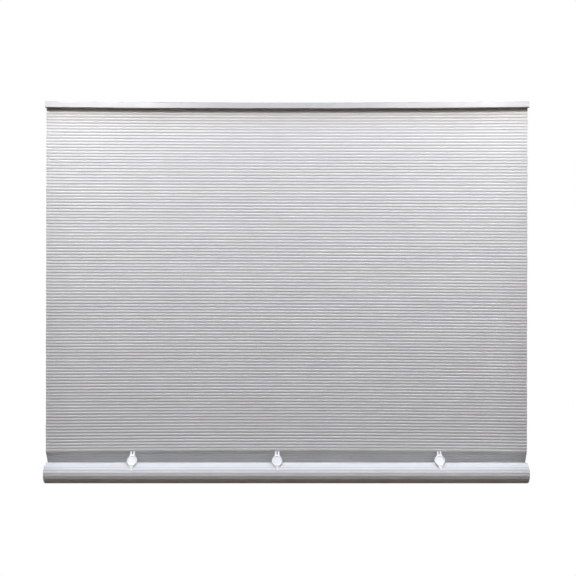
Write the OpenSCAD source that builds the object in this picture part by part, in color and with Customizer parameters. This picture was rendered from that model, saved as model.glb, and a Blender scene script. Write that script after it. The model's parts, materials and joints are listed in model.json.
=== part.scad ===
// Outdoor roll-up blind: a head rail, a curtain of oval slats, and the spare curtain wound in a roll
// that three hook clips hold up. Millimetres. X runs along the rail, the front faces -Y, Z is up.
// The origin lies midway between the two hanging holes, on the plane of the rail's top.

/* [Head rail] */
// Overall length of the head rail with its end caps
rail_w = 1216; // [700:1:1800]
// Height of the head rail
rail_h = 16; // [15:0.5:24]
// Depth of the head rail, front to back
rail_d = 10; // [8:0.5:20]
// Wall of the hollow head rail
rail_wall = 1.4; // [1:0.1:2]
// Radius of the head rail's corners
rail_corner = 1.5; // [0.5:0.1:2.5]
// Thickness of the end caps
cap_t = 1.5; // [1:0.1:3]
// Depth that an end cap's plug reaches into its tube
cap_plug = 12; // [6:1:20]
// Thickness of the strip that clamps the curtain to the rail
strip_t = 3; // [2:0.5:5]
// Radius of the strip's corners
strip_corner = 0.8; // [0.3:0.1:1]

/* [Hangers] */
// Distance from each end of the head rail to the nearer hanging hole
hanger_inset = 100; // [40:1:250]
// Width of a hanger
hanger_w = 24; // [20:1:40]
// Thickness of a hanger's steel
hanger_t = 2; // [1.5:0.1:3]
// Diameter of a hanging hole
hanger_hole_d = 5.5; // [4:0.1:7]
// Distance from a hanging hole to the strip behind the curtain
hanger_setback = 14; // [11:0.5:24]
// Inner radius of a hanger's bend
hanger_bend = 1.5; // [1:0.1:2]
// Radius of the corners of a hanger's upper leg
hanger_corner = 4; // [1:0.5:8]

/* [Slats] */
// Distance from one slat to the next
slat_pitch = 7.72; // [7:0.01:8.6]
// Opening between two slats
slat_gap = 1.22; // [1:0.01:1.5]
// Thickness of a slat
slat_t = 2.1; // [1.8:0.05:2.4]
// Slats that hang straight below the rail's top
hung_slats = 114; // [60:1:150]

/* [Roll] */
// Outer diameter of the roll
roll_d = 51.6; // [46:0.2:64]
// Height from the roll's axis to the line where the clips hook into the curtain
roll_drop = 53.9; // [50:0.1:64]
// Distance that the curtain steps back at that line, pressed by the clips
kink_tuck = 1.2; // [0:0.1:2]
// Part of a full turn that the outer turn covers
outer_turn = 318; // [290:1:322]
// Outer diameter of the bottom rail, which the curtain is wound on
core_d = 13; // [12:0.2:18]
// Wall of the bottom rail
core_wall = 1.5; // [1:0.1:2.5]

/* [Clips] */
// Distance of the left clip from the middle of the blind, as a share of the slats' length
clip_left_at = -0.321; // [-0.45:0.001:-0.15]
// Distance of the middle clip from the middle of the blind, as a share of the slats' length
clip_middle_at = -0.021; // [-0.1:0.001:0.1]
// Distance of the right clip from the middle of the blind, as a share of the slats' length
clip_right_at = 0.315; // [0.15:0.001:0.45]
// Diameter of a clip's disc
disc_d = 27; // [22:0.5:30]
// Height of the rim around the disc
rim_h = 1.1; // [0.6:0.1:2]
// Width of the rim around the disc
rim_w = 2.7; // [1.5:0.1:4]
// Thickness of a clip's plate
clip_t = 1.6; // [1.2:0.1:2.2]
// Width of a clip's neck
neck_w = 11; // [9:0.5:14]
// Radius of the fillets between neck and disc
neck_fillet = 3; // [1:0.5:5]
// Width of the slot between the two prongs of the neck
slot_w = 3; // [2:0.2:5]
// Depth of the slot between the two prongs
slot_depth = 8; // [5:0.5:9]
// Width of a clip's tail
tail_w = 5; // [4:0.5:9]
// Distance of the tail from the clip's middle, to the right
tail_shift = 0.8; // [0:0.1:1.5]
// Distance from the disc's middle down to the end of the taper, where the tail starts
taper_len = 18; // [16:0.5:20]

/* [Hidden] */
$fn = 48;
eps = 0.01;

// Clearances: pieces of one body, and pieces that move past each other.
fit = 0.15;
run_clear = 0.35;
layer_gap = 0.12;

// Distance that a cut runs past the faces it cuts.
over = 1;

// Curtain.
slat_inset = 1;
slat_w = rail_w - 2 * slat_inset;
slat_h = slat_pitch - slat_gap;
top_gap = 0.7;
// Angles around one side of a slat's oval. The first and last leave the thread web between two slats.
ridge_angles = [20, 50, 78, 102, 130, 160];

// Depths, from the hanging holes forward.
strip_y = -hanger_setback - strip_t;
curtain_y = strip_y - fit - slat_t / 2;
rail_y = curtain_y - slat_t / 2 - fit - rail_d;

// Screws, which sit in the opening between the two top slats.
screw_z = -top_gap - slat_pitch;
screw_d = 2.9;
screw_head_d = 6;
screw_head_h = 2;
screw_reach = 4;
screw_offset = 7;
screw_from_hanger = 60;
hanger_x = rail_w / 2 - hanger_inset;
hanger_screws_x = [for (side = [-1, 1], i = [-1, 1]) side * hanger_x + i * screw_offset];
clamp_screws_x = [for (i = [-2:2]) i * (hanger_x - screw_from_hanger) / 2];
screws_x = concat(clamp_screws_x, hanger_screws_x);

// Hanger and strip, which end a little above the rail's lower edge.
strip_short = 1;
leg_short = 2;
hanger_leg = rail_h - leg_short;
hanger_edge = 6;
hanger_reach = hanger_setback + hanger_hole_d / 2 + hanger_edge;

// Roll, in the plane of Y and Z.
kink_z = -top_gap - hung_slats * slat_pitch;
axis_z = kink_z - roll_drop;
roll_r = roll_d / 2;
turn_r = roll_r - slat_t / 2;
kink_reach = norm([kink_tuck, roll_drop]);
lean = asin(turn_r / kink_reach) - atan(kink_tuck / roll_drop);
lead_len = sqrt(kink_reach ^ 2 - turn_r ^ 2);
hook_room = 0.6;
outer_slats = floor((lead_len - hook_room + turn_r * outer_turn * PI / 180) / slat_pitch);
inner_r = turn_r - slat_t - run_clear;
layer = slat_t + layer_gap;
core_r = core_d / 2;
last_r = core_r + fit + slat_t / 2;
inner_slats = floor(PI * (inner_r ^ 2 - last_r ^ 2) / (layer * slat_pitch));
turn_step = 12;
inner_start = lean - outer_turn - turn_step;
core_w = slat_w - 2 * cap_t;

// Clip, a flat plate from the hooked opening down to the front of the roll.
prong_t = 0.9;
prong_lift = 0.15;
prong_root = 0.4;
prong_w = (neck_w - slot_w) / 2;
hook_y = kink_tuck + 2.7;
hook_t = 0.9;
hook_h = 1.5;
clip_y = 2.2;
clip_sink = 0.3;
clip_z = roll_drop - clip_sink;
plate_r = roll_r + fit + clip_t / 2;
clip_reach = norm([clip_y, clip_z]);
clip_lean = asin(plate_r / clip_reach) - atan(clip_y / clip_z);
plate_len = sqrt(clip_reach ^ 2 - plate_r ^ 2);
disc_v = -plate_len / 2;
disc_r = disc_d / 2;
bead_r = (rim_w ^ 2 / 4 + rim_h ^ 2) / (2 * rim_h);
rim_inset = 0.2;
fillet_x = neck_w / 2 + neck_fillet;
fillet_place = [fillet_x, sqrt((disc_r + neck_fillet) ^ 2 - fillet_x ^ 2)];
// The tail drops into the first opening of the outer turn below the place where the plate meets the roll.
tail_margin = 1;
function opening_angle(k) = (hook_room + k * slat_pitch - lead_len) / turn_r * 180 / PI - 180 - lean;
tail_opening = max([for (k = [1:outer_slats - 1]) if (opening_angle(k) < clip_lean - tail_margin) k]);
tail_angle = opening_angle(tail_opening);
tail_v = -plate_len - turn_r * sin(clip_lean - tail_angle);
tail_corner = 1;
claw_w = tail_w - 2 * tail_corner;
claw_room = 1;
claw_t = 0.8;
claw_bite = 0.6;
claw_n = (turn_r - claw_bite) * cos(clip_lean - tail_angle) - plate_r;
clip_places = slat_w * [clip_left_at, clip_middle_at, clip_right_at];

// A profile drawn in Y and Z, made into a bar of a given length along X.
module along_x(length) {
    translate([-length / 2, 0, 0])
        rotate([90, 0, 90])
            linear_extrude(length)
                children();
}

// A rectangle with rounded corners, from its lower left corner.
module rounded_rect(size, radius) {
    translate([radius, 0])
        square([size.x - 2 * radius, size.y]);
    translate([0, radius])
        square([size.x, size.y - 2 * radius]);
    for (x = [radius, size.x - radius], y = [radius, size.y - radius])
        translate([x, y])
            circle(r = radius);
}

// One side of a slat placed on the curtain: its middle, its heading along the curtain, and the side.
function slat_side(place, side) =
    let (mid = place[0], heading = place[1], face = [heading.y, -heading.x])
    [for (angle = ridge_angles)
        mid - slat_h / 2 * cos(angle) * heading
            + side * slat_t / 2 * sin(angle) / sin(ridge_angles[2]) * face];

function reversed(list) = [for (i = [len(list) - 1:-1:0]) list[i]];

// A run of slats with the thread web between them, as one wall.
module slat_wall(places) {
    one_side = [for (place = places) each slat_side(place, 1)];
    other_side = [for (place = places) each slat_side(place, -1)];
    along_x(slat_w)
        polygon(concat(one_side, reversed(other_side)));
}

function around_axis(radius, angle) = [curtain_y, axis_z] + radius * [cos(angle), sin(angle)];

// A place on the curtain's way from the kink, straight back to the roll and then around it.
function outer_place(run) =
    let (angle = lean - max(0, run - lead_len) / turn_r * 180 / PI)
    run < lead_len
        ? [[curtain_y + kink_tuck, kink_z] + run * [sin(lean), -cos(lean)], [sin(lean), -cos(lean)]]
        : [around_axis(turn_r, angle), [sin(angle), -cos(angle)]];

// A place on the spiral that the rest of the curtain makes inside the outer turn.
function inner_place(run) =
    let (radius = sqrt(inner_r ^ 2 - run * layer / PI),
        angle = inner_start - 360 * (inner_r - radius) / layer,
        heading = angle - atan(layer / (2 * PI * radius)))
    [around_axis(radius, angle), [sin(heading), -cos(heading)]];

// A round hole along Y at a screw's place.
module screw_hole(x, diameter, y, depth) {
    translate([x, y, screw_z])
        rotate([-90, 0, 0])
            cylinder(d = diameter, h = depth);
}

// The outside of the head rail's profile, in Y and Z.
module rail_profile() {
    translate([rail_y, -rail_h])
        rounded_rect([rail_d, rail_h], rail_corner);
}

// The head rail's hollow, less a gap all round.
module rail_hollow(gap) {
    inset = rail_wall + gap;
    translate([rail_y + inset, -rail_h + inset])
        square([rail_d - 2 * inset, rail_h - 2 * inset]);
}

module head_rail() {
    color("#e9e9ec")
        difference() {
            along_x(rail_w - 2 * cap_t)
                difference() {
                    rail_profile();
                    rail_hollow(0);
                }
            for (x = screws_x)
                screw_hole(x, screw_d + fit, rail_y + rail_d - rail_wall - over, rail_wall + 2 * over);
        }
}

// The cap of one end of the head rail: a plate as large as the profile, and a plug inside it.
module head_cap(side) {
    color("#e4e4e6") {
        translate([side * (rail_w - cap_t) / 2, 0, 0])
            along_x(cap_t)
                rail_profile();
        translate([side * (rail_w / 2 - cap_t - (cap_plug - eps) / 2), 0, 0])
            along_x(cap_plug + eps)
                rail_hollow(fit);
    }
}

module head_cap_left() {
    head_cap(-1);
}

module head_cap_right() {
    head_cap(1);
}

module clamp_strip() {
    color("#dcdcde")
        difference() {
            along_x(slat_w)
                translate([strip_y, -rail_h + strip_short])
                    rounded_rect([strip_t, rail_h - strip_short], strip_corner);
            for (x = screws_x)
                screw_hole(x, screw_d + 2 * fit, strip_y - over, strip_t + 2 * over);
        }
}

// A pan head screw driven forward from a face at y.
module screw(x, y) {
    through = y - (rail_y + rail_d - rail_wall) + screw_reach - rail_wall;
    screw_hole(x, screw_head_d, y, screw_head_h);
    screw_hole(x, screw_d, y - through, through + eps);
}

module clamp_screws() {
    color("#a9abad")
        for (x = clamp_screws_x)
            screw(x, -hanger_setback);
}

module hanger_screws() {
    color("#a9abad")
        for (x = hanger_screws_x)
            screw(x, -hanger_setback + hanger_t);
}

// A steel strip bent to an angle, in Y and Z: one leg down behind the strip, one back along the rail's top.
module hanger_profile() {
    outer_bend = hanger_bend + hanger_t;
    translate([-hanger_setback, -hanger_leg])
        square([hanger_t, hanger_leg - outer_bend]);
    translate([-hanger_setback + outer_bend, -hanger_t])
        square([hanger_reach - outer_bend, hanger_t]);
    translate([-hanger_setback + outer_bend, -outer_bend])
        difference() {
            intersection() {
                circle(r = outer_bend);
                translate([-outer_bend, 0])
                    square(outer_bend);
            }
            circle(r = hanger_bend);
        }
}

// A hanger, with rounded corners at the end of its upper leg and holes for its screws.
module hanger(x) {
    color("#b9bbbe")
        translate([x, 0, 0])
            difference() {
                intersection() {
                    along_x(hanger_w)
                        hanger_profile();
                    translate([-hanger_w / 2, -hanger_setback - hanger_corner - over, -rail_h])
                        linear_extrude(rail_h + over)
                            rounded_rect([hanger_w, hanger_reach + hanger_corner + over], hanger_corner);
                }
                translate([0, 0, -hanger_t - over])
                    cylinder(d = hanger_hole_d, h = hanger_t + 2 * over);
                for (side = [-1, 1])
                    screw_hole(side * screw_offset, screw_d + 2 * fit,
                        -hanger_setback - over, hanger_t + 2 * over);
            }
}

module hanger_left() {
    hanger(-hanger_x);
}

module hanger_right() {
    hanger(hanger_x);
}

// The curtain that hangs straight, from the rail's top down to the clips.
module slat_curtain() {
    color("#f2f2ef")
        difference() {
            slat_wall([for (i = [0:hung_slats - 1])
                [[curtain_y, -top_gap - (i + 0.5) * slat_pitch], [0, -1]]]);
            for (x = screws_x)
                screw_hole(x, screw_d + 4 * fit, curtain_y - slat_t, 2 * slat_t);
        }
}

// The curtain below the clips: back to the roll, and once around it.
module outer_turn_slats() {
    color("#ecece8")
        difference() {
            slat_wall([for (i = [0:outer_slats - 1]) outer_place(hook_room + (i + 0.5) * slat_pitch)]);
            for (x = clip_places)
                translate([x, curtain_y, axis_z])
                    rotate([-tail_angle, 0, 0])
                        translate([tail_shift - claw_w / 2 - claw_room, -roll_r, -slat_gap / 2])
                            cube([claw_w + 2 * claw_room, slat_t, slat_gap]);
        }
}

// The turns wound inside the outer one.
module rolled_slats() {
    color("#e6e6e2")
        slat_wall([for (i = [0:inner_slats - 1]) inner_place((i + 0.5) * slat_pitch)]);
}

module bottom_rail() {
    color("#d4d4d2")
        translate([0, curtain_y, axis_z])
            along_x(core_w)
                difference() {
                    circle(d = core_d);
                    circle(d = core_d - 2 * core_wall);
                }
}

// The cap of one end of the bottom rail: a disc and a plug inside the tube.
module bottom_cap(side) {
    color("#dededc")
        translate([side * core_w / 2, curtain_y, axis_z])
            rotate([0, side * 90, 0]) {
                cylinder(d = core_d, h = cap_t);
                translate([0, 0, -cap_plug])
                    cylinder(d = core_d - 2 * core_wall - 2 * fit, h = cap_plug + eps);
            }
}

module bottom_cap_left() {
    bottom_cap(-1);
}

module bottom_cap_right() {
    bottom_cap(1);
}

// A corner of the tail where it leaves the taper, from the disc's middle, and the point on the disc
// where a straight line from that corner touches it.
function taper_corner(side) = [tail_shift + side * tail_w / 2, -taper_len];
function taper_touch(side) =
    let (corner = taper_corner(side),
        angle = atan2(corner.y, corner.x) + side * acos(disc_r / norm(corner)))
    disc_r * [cos(angle), sin(angle)];

// The fillet between the neck and the disc on one side, with the disc's middle at the origin.
module neck_fillet_shape(side) {
    place = [side * fillet_place.x, fillet_place.y];
    difference() {
        polygon([[0, 0], place, [0, place.y]]);
        translate(place)
            circle(r = neck_fillet);
    }
}

// A clip's plate seen square on: disc, slotted neck and tapered tail, with the disc's middle at the origin.
module clip_outline() {
    tail_low = tail_v - disc_v - claw_t / 2;
    slot_low = -disc_v - slot_depth + slot_w / 2;
    difference() {
        union() {
            circle(r = disc_r);
            polygon([taper_touch(-1), taper_corner(-1), taper_corner(1), taper_touch(1)]);
            translate([-neck_w / 2, 0])
                square([neck_w, -disc_v]);
            for (side = [-1, 1])
                neck_fillet_shape(side);
            translate([tail_shift - tail_w / 2, tail_low])
                rounded_rect([tail_w, -tail_low], tail_corner);
        }
        translate([0, slot_low])
            circle(d = slot_w);
        translate([-slot_w / 2, slot_low])
            square([slot_w, slot_depth]);
    }
}

// The rounded rim of a clip's disc, standing on the plate's front.
module clip_rim() {
    rotate_extrude()
        translate([disc_r - rim_inset - rim_w / 2, clip_t / 2 + rim_h - bead_r])
            intersection() {
                circle(r = bead_r);
                translate([-bead_r, -clip_t / 2])
                    square([2 * bead_r, 2 * bead_r]);
            }
}

// A prong that reaches through the curtain and turns down behind it, with its middle at the kink.
module clip_prong() {
    translate([-prong_w / 2, -clip_y - prong_root, -prong_t])
        cube([prong_w, clip_y + prong_root + hook_y + hook_t, prong_t]);
    translate([-prong_w / 2, hook_y, -prong_t - hook_h])
        cube([prong_w, hook_t, hook_h + eps]);
}

// A moulded hook clip. Its prongs reach through the curtain and its tail into the roll's outer turn.
module clip(x) {
    color("#f7f7f7")
        translate([x, curtain_y, 0]) {
            translate([0, -clip_y, axis_z + clip_z])
                rotate([90 - clip_lean, 0, 0])
                    translate([0, disc_v, 0]) {
                        translate([0, 0, -clip_t / 2])
                            linear_extrude(clip_t)
                                clip_outline();
                        clip_rim();
                        translate([tail_shift - claw_w / 2, tail_v - disc_v - claw_t / 2, claw_n])
                            cube([claw_w, claw_t, -claw_n]);
                    }
            for (side = [-1, 1])
                translate([side * (slot_w + prong_w) / 2, 0, kink_z + prong_lift])
                    clip_prong();
        }
}

module clip_left() {
    clip(clip_places[0]);
}

module clip_middle() {
    clip(clip_places[1]);
}

module clip_right() {
    clip(clip_places[2]);
}

head_rail();
head_cap_left();
head_cap_right();
clamp_strip();
clamp_screws();
hanger_left();
hanger_right();
hanger_screws();
slat_curtain();
outer_turn_slats();
rolled_slats();
bottom_rail();
bottom_cap_left();
bottom_cap_right();
clip_left();
clip_middle();
clip_right();
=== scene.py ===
# %% [markdown]
# # An outdoor roll-up blind
# A white blind of thin oval slats hangs under a slim head rail. Its lower end is wound up in a roll,
# and three moulded clips hold that roll against the curtain. The solids, the mounts and the joints come
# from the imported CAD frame. This lesson adds what the eye sees: rounded slats that hang a little
# unevenly, the threads that tie them, soft-edged clips and the finish of every surface.

import json
import math

import bpy
import numpy as np
from mathutils import Matrix, Vector


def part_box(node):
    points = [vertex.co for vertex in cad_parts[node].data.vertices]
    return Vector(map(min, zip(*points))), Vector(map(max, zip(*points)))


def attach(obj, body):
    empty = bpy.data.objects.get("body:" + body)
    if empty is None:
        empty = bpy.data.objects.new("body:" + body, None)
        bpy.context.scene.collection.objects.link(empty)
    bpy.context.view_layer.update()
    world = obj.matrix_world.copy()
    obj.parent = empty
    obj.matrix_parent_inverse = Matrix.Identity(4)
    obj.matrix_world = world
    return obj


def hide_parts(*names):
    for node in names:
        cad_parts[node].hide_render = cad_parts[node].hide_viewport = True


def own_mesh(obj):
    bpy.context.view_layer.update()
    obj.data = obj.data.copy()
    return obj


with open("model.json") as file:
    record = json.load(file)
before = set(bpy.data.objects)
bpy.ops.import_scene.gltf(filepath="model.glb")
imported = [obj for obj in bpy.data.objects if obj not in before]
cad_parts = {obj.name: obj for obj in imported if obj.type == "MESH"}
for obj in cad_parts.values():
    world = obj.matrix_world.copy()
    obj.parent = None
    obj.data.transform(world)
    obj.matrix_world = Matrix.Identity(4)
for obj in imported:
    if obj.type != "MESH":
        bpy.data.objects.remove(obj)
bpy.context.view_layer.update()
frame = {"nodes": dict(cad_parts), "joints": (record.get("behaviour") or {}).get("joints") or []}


def add_object(name, data):
    """A new object in the scene, from a mesh, a lamp or a camera."""
    added = bpy.data.objects.new(name, data)
    bpy.context.scene.collection.objects.link(added)
    return added


# %% [markdown]
# ## Sizes
# The frame already knows where everything is, so places are read from its boxes and joints. Only what a
# box cannot tell, such as the distance from slat to slat, is written here, in the same sizes as the CAD.

# %% Sizes that the looks share with the solids
MM = 0.001
SLAT_PITCH = 7.72 * MM
SLAT_GAP = 1.22 * MM
SLAT_H = SLAT_PITCH - SLAT_GAP
SLAT_T = 2.1 * MM
HUNG_SLATS = 114
TOP_GAP = 0.7 * MM
ROLL_R = 25.8 * MM
ROLL_DROP = 53.9 * MM
KINK_TUCK = 1.2 * MM
OUTER_TURN = math.radians(318)
TURN_STEP = math.radians(12)
HOOK_ROOM = 0.6 * MM
RUN_CLEAR = 0.35 * MM
LAYER_GAP = 0.12 * MM
CORE_R = 6.5 * MM
FIT = 0.15 * MM

curtain_low, curtain_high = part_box("slat_curtain")
SLAT_W = curtain_high.x - curtain_low.x
CURTAIN_Y = (curtain_low.y + curtain_high.y) / 2
joints = {joint["name"]: joint for joint in frame["joints"]}
AXIS_Z = joints["roll_turn"]["pos_m"][2]
HUNG_LENGTH = HUNG_SLATS * SLAT_PITCH
KINK_Z = -TOP_GAP - HUNG_LENGTH
print(f"curtain {SLAT_W:.3f} m wide, clips hook in at z {KINK_Z:.4f}, roll axis at z {AXIS_Z:.4f}")

# %% [markdown]
# ## The path of the curtain
# One long mat of slats makes the whole blind: it hangs straight, kinks back where the clips hook in, runs
# to the back of the roll, goes once around it and then winds inward. Each stretch is a function that
# turns a distance along the mat into a place and a heading in Y and Z, so one slat maker serves all.

# %% Places along the mat
TURN_R = ROLL_R - SLAT_T / 2
KINK_REACH = math.hypot(KINK_TUCK, ROLL_DROP)
LEAN = math.asin(TURN_R / KINK_REACH) - math.atan(KINK_TUCK / ROLL_DROP)
LEAD = math.sqrt(KINK_REACH**2 - TURN_R**2)
INNER_R = TURN_R - SLAT_T - RUN_CLEAR
LAYER = SLAT_T + LAYER_GAP
LAST_R = CORE_R + FIT + SLAT_T / 2
INNER_START = LEAN - OUTER_TURN - TURN_STEP
OUTER_SLATS = int((LEAD - HOOK_ROOM + TURN_R * OUTER_TURN) / SLAT_PITCH)
INNER_SLATS = int(math.pi * (INNER_R**2 - LAST_R**2) / (LAYER * SLAT_PITCH))


def around_axis(radius, angle):
    return np.array([CURTAIN_Y + radius * math.cos(angle), AXIS_Z + radius * math.sin(angle)])


def heading_at(angle):
    return np.array([math.sin(angle), -math.cos(angle)])


def hung_place(run):
    return np.array([CURTAIN_Y, -TOP_GAP - run]), np.array([0.0, -1.0])


def outer_place(run):
    run = run + HOOK_ROOM
    if run < LEAD:
        heading = heading_at(LEAN)
        return np.array([CURTAIN_Y + KINK_TUCK, KINK_Z]) + run * heading, heading
    angle = LEAN - (run - LEAD) / TURN_R
    return around_axis(TURN_R, angle), heading_at(angle)


def inner_place(run):
    radius = math.sqrt(INNER_R**2 - run * LAYER / math.pi)
    angle = INNER_START - 2 * math.pi * (INNER_R - radius) / LAYER
    return around_axis(radius, angle), heading_at(angle - math.atan(LAYER / (2 * math.pi * radius)))


print("slats hung, around and wound in:", HUNG_SLATS, OUTER_SLATS, INNER_SLATS)

# %% [markdown]
# ## How the mat hangs
# A mat of tied slats is never quite level. In the photograph the rail and the top slats sag in the middle,
# the slats halfway down lean to the right, and near the clips the free ends droop. It also drifts a little
# to the left on its way down. A few short formulas give that sway at any place, and every piece uses them.

# %% Sway of the mat and the rail
RAIL_SAG = 3.4 * MM
RAIL_HOLD = 0.08
TILT_ENDS = 0.6 * MM
TILT_MIDDLE = 1.9 * MM
BOW_TOP = 1.1 * MM
BOW_DROOP = 4.7 * MM
DRIFT_TOP = 0.7 * MM
DRIFT_DOWN = 1.6 * MM
hanger_low, hanger_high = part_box("hanger_right")
HANGER_X = (hanger_low.x + hanger_high.x) / 2


def bow_shape(x):
    """Highest in the middle, less towards the ends, and zero on average."""
    return 1 / 3 - (2 * x / SLAT_W) ** 2


def rail_sag(x):
    """Depth of the rail below its level place: it hangs from two points, and its ends stand up a little."""
    return RAIL_SAG * (bow_shape(x) - bow_shape(HANGER_X))


def hung_sway(run, x):
    """Height that a place on the hung mat has above its level place. The rail holds only the top slats."""
    depth = run / HUNG_LENGTH
    near_rail = np.exp(-depth / RAIL_HOLD)
    tilt = TILT_ENDS + TILT_MIDDLE * np.sin(math.pi * depth)
    bow = BOW_TOP * (1 - near_rail) - BOW_DROOP * depth
    return -tilt * 2 * x / SLAT_W - near_rail * rail_sag(x) - bow * bow_shape(x)


def outer_sway(run, x):
    """The sway at the clips, which dies out on the way back to the roll."""
    left = np.clip(1 - run / LEAD, 0, 1)
    return hung_sway(HUNG_LENGTH, x) * left**2 * (3 - 2 * left)


def no_sway(run, x):
    return 0 * run * x


def drift(run):
    return -DRIFT_TOP - DRIFT_DOWN * np.clip(run / HUNG_LENGTH, 0, 1)


print(f"the mat drifts {drift(HUNG_LENGTH) / MM:.1f} mm on its way down")

# %% [markdown]
# ## Camera
# The photograph looks straight at the blind from about two metres, level with its middle. A camera placed
# at that distance gives the same slight widening of the roll, which stands nearer to the lens.

# %% Camera
CAMERA_LENS = 49.54
CAMERA_PLACE = (0.0018, -2.0182, -0.4683)

camera_data = bpy.data.cameras.new("camera")
camera_data.sensor_width = 36
camera_data.lens = CAMERA_LENS
camera = add_object("camera", camera_data)
camera.location = CAMERA_PLACE
camera.rotation_euler = (math.radians(90), 0, 0)
bpy.context.scene.camera = camera
print("camera at", tuple(round(value, 3) for value in camera.location))

# %% [markdown]
# ## Shared shader groups
# Plastic that comes out of a die has faint lines along its length, every moulded face has a fine grain,
# and dust settles unevenly. These effects are wanted in several finishes, so each is a node group that
# gives out masks and heights, and a material places it with its own values.

# %% Helpers for node trees
def add_node(tree, kind, **settings):
    node = tree.nodes.new(kind)
    for name, value in settings.items():
        setattr(node, name, value)
    return node


def link(tree, source, target):
    tree.links.new(source, target)


def new_group(name, inputs, outputs):
    """A shader group with float or vector inputs, given as (name, kind, default), and float outputs."""
    group = bpy.data.node_groups.new(name, "ShaderNodeTree")
    for label, kind, default in inputs:
        socket = group.interface.new_socket(label, in_out="INPUT", socket_type=kind)
        if default is not None:
            socket.default_value = default
    for label in outputs:
        group.interface.new_socket(label, in_out="OUTPUT", socket_type="NodeSocketFloat")
    return group, add_node(group, "NodeGroupInput"), add_node(group, "NodeGroupOutput")


def place_group(tree, group, vector, **values):
    """A shared group in a material, with its coordinates and its own values."""
    node = add_node(tree, "ShaderNodeGroup", node_tree=group)
    link(tree, vector, node.inputs["Vector"])
    for name, value in values.items():
        node.inputs[name].default_value = value
    return node


print("helpers ready")

# %% Group: lines left by the extrusion die
def make_die_lines():
    group, given, out = new_group(
        "die_lines",
        [
            ("Vector", "NodeSocketVector", None),
            ("Across", "NodeSocketFloat", 900.0),
            ("Along", "NodeSocketFloat", 3.0),
        ],
        ["Line", "Band"],
    )
    stretch = add_node(group, "ShaderNodeCombineXYZ")
    link(group, given.outputs["Along"], stretch.inputs["X"])
    link(group, given.outputs["Across"], stretch.inputs["Y"])
    link(group, given.outputs["Across"], stretch.inputs["Z"])
    scaled = add_node(group, "ShaderNodeVectorMath", operation="MULTIPLY")
    link(group, given.outputs["Vector"], scaled.inputs[0])
    link(group, stretch.outputs[0], scaled.inputs[1])
    fine = add_node(group, "ShaderNodeTexNoise")
    fine.inputs["Scale"].default_value = 1.0
    fine.inputs["Detail"].default_value = 3.0
    broad = add_node(group, "ShaderNodeTexNoise")
    broad.inputs["Scale"].default_value = 0.22
    broad.inputs["Detail"].default_value = 2.0
    for texture, label in ((fine, "Line"), (broad, "Band")):
        link(group, scaled.outputs[0], texture.inputs["Vector"])
        link(group, texture.outputs[0], out.inputs[label])
    return group


die_lines = make_die_lines()
print("group", die_lines.name)

# %% Group: moulded grain with soft mottling
def make_moulded_grain():
    group, given, out = new_group(
        "moulded_grain",
        [
            ("Vector", "NodeSocketVector", None),
            ("Grain", "NodeSocketFloat", 1500.0),
            ("Patch", "NodeSocketFloat", 18.0),
        ],
        ["Height", "Mottle"],
    )
    grain = add_node(group, "ShaderNodeTexNoise")
    grain.inputs["Detail"].default_value = 4.0
    patch = add_node(group, "ShaderNodeTexNoise")
    patch.inputs["Detail"].default_value = 3.0
    for texture, scale, label in ((grain, "Grain", "Height"), (patch, "Patch", "Mottle")):
        link(group, given.outputs["Vector"], texture.inputs["Vector"])
        link(group, given.outputs[scale], texture.inputs["Scale"])
        link(group, texture.outputs[0], out.inputs[label])
    return group


moulded_grain = make_moulded_grain()
print("group", moulded_grain.name)

# %% Group: dust on faces that look up
def make_settled_dust():
    group, given, out = new_group(
        "settled_dust",
        [("Vector", "NodeSocketVector", None), ("Amount", "NodeSocketFloat", 0.3)],
        ["Dust"],
    )
    geometry = add_node(group, "ShaderNodeNewGeometry")
    split = add_node(group, "ShaderNodeSeparateXYZ")
    link(group, geometry.outputs["Normal"], split.inputs[0])
    upward = add_node(group, "ShaderNodeMapRange")
    upward.inputs["From Min"].default_value = 0.2
    upward.inputs["From Max"].default_value = 0.95
    link(group, split.outputs["Z"], upward.inputs["Value"])
    cloud = add_node(group, "ShaderNodeTexNoise")
    cloud.inputs["Scale"].default_value = 35.0
    cloud.inputs["Detail"].default_value = 5.0
    link(group, given.outputs["Vector"], cloud.inputs["Vector"])
    patchy = add_node(group, "ShaderNodeMath", operation="MULTIPLY")
    link(group, upward.outputs[0], patchy.inputs[0])
    link(group, cloud.outputs[0], patchy.inputs[1])
    amount = add_node(group, "ShaderNodeMath", operation="MULTIPLY", use_clamp=True)
    link(group, patchy.outputs[0], amount.inputs[0])
    link(group, given.outputs["Amount"], amount.inputs[1])
    link(group, amount.outputs[0], out.inputs["Dust"])
    return group


settled_dust = make_settled_dust()
print("group", settled_dust.name)

# %% Helpers for materials
def new_material(name, roughness):
    """A material with a Principled shader and coordinates in metres on the part."""
    material = bpy.data.materials.new(name)
    material.use_nodes = True
    tree = material.node_tree
    shader = tree.nodes["Principled BSDF"]
    shader.inputs["Roughness"].default_value = roughness
    coordinates = add_node(tree, "ShaderNodeTexCoord")
    return material, tree, shader, coordinates.outputs["Object"]


def blend_colour(tree, mask, first, second):
    """A colour between two, by a mask socket. Each colour is an RGB triple or a socket."""
    mix = add_node(tree, "ShaderNodeMix", data_type="RGBA")
    link(tree, mask, mix.inputs["Factor"])
    for socket, colour in ((mix.inputs[6], first), (mix.inputs[7], second)):
        if isinstance(colour, tuple):
            socket.default_value = (*colour, 1)
        else:
            link(tree, colour, socket)
    return mix.outputs[2]


def spread(tree, value, low, high, start=0.3, end=0.7):
    """A value socket stretched from start..end to low..high."""
    stretch = add_node(tree, "ShaderNodeMapRange")
    stretch.inputs["From Min"].default_value = start
    stretch.inputs["From Max"].default_value = end
    stretch.inputs["To Min"].default_value = low
    stretch.inputs["To Max"].default_value = high
    link(tree, value, stretch.inputs["Value"])
    return stretch.outputs[0]


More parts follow.
